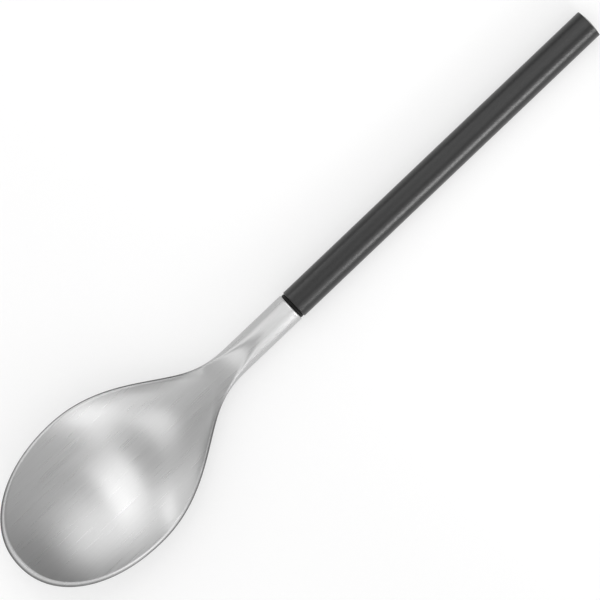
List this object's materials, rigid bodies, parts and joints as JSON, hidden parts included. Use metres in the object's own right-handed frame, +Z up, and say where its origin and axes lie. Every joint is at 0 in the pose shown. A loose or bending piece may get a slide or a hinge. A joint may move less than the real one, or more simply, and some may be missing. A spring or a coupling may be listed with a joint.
{
  "type": "teaspoon",
  "caption": "Slim teaspoon with an egg-shaped satin steel bowl on a round neck, joined by a dark seal ring to a straight black rod handle.",
  "frame": {"origin": "on the table that the spoon lies on, under the middle of its length and width", "axes": "+X along the spoon from the bowl's tip to the handle's end, +Z up out of the bowl, +Y across"},
  "size_m": [0.14, 0.029, 0.0088],
  "materials": {
    "steel": "stainless steel, satin brushed along the spoon",
    "ring": "black elastomer, smooth",
    "handle": "black moulded acetal, fine satin grain",
    "bond": "cured epoxy, hidden inside the handle"
  },
  "bodies": {
    "root": {"bowl": "steel", "seal_ring": "ring", "handle": "handle", "adhesive": "bond"}
  },
  "joints": []
}
